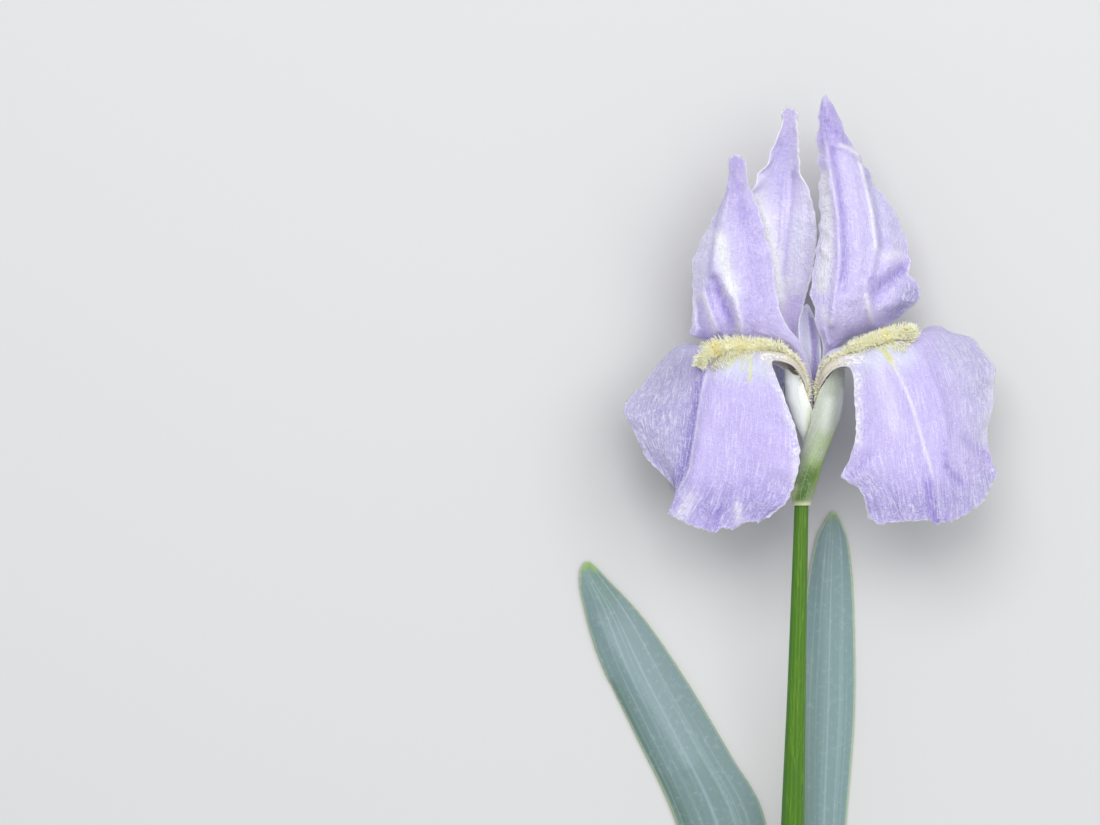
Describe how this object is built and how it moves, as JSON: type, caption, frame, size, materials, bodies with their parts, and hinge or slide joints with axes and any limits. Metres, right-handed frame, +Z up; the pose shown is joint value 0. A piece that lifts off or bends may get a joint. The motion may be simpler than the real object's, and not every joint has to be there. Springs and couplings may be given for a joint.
{
  "type": "iris flower",
  "caption": "Cut bearded iris lying flat: pale lavender petals, yellow beards, papery spathe, green stalk and sword leaves at its foot.",
  "frame": {"origin": "below the middle of the flower's box, on the surface that it lies on", "axes": "+Y along the stalk towards the flower's tips, +X to the flower's right, +Z straight up from the surface"},
  "size_m": [0.112, 0.253, 0.0432],
  "materials": {
    "petal": "pale lavender, fine veins, faint sparkle",
    "beard": "pale yellow hairs with deeper yellow tips",
    "style": "pale grey violet",
    "stamen": "cream pollen",
    "spathe": "whitish green, greener at the base",
    "ovary": "matt green",
    "stem": "satin bright green, finely ribbed",
    "leaf": "waxy blue green with long veins"
  },
  "bodies": {
    "root": {"stem": "stem", "outer_spathe": "spathe", "inner_spathe": "spathe", "ovary": "ovary", "perianth_tube": "spathe", "left_fall": "petal", "right_fall": "petal", "back_fall": "petal", "left_beard": "beard", "right_beard": "beard", "back_beard": "beard", "front_standard": "petal", "middle_standard": "petal", "right_standard": "petal", "left_style_arm": "style", "right_style_arm": "style", "middle_style_arm": "style", "left_stamen": "stamen", "right_stamen": "stamen", "back_stamen": "stamen", "left_leaf": "leaf", "right_leaf": "leaf"}
  },
  "joints": []
}
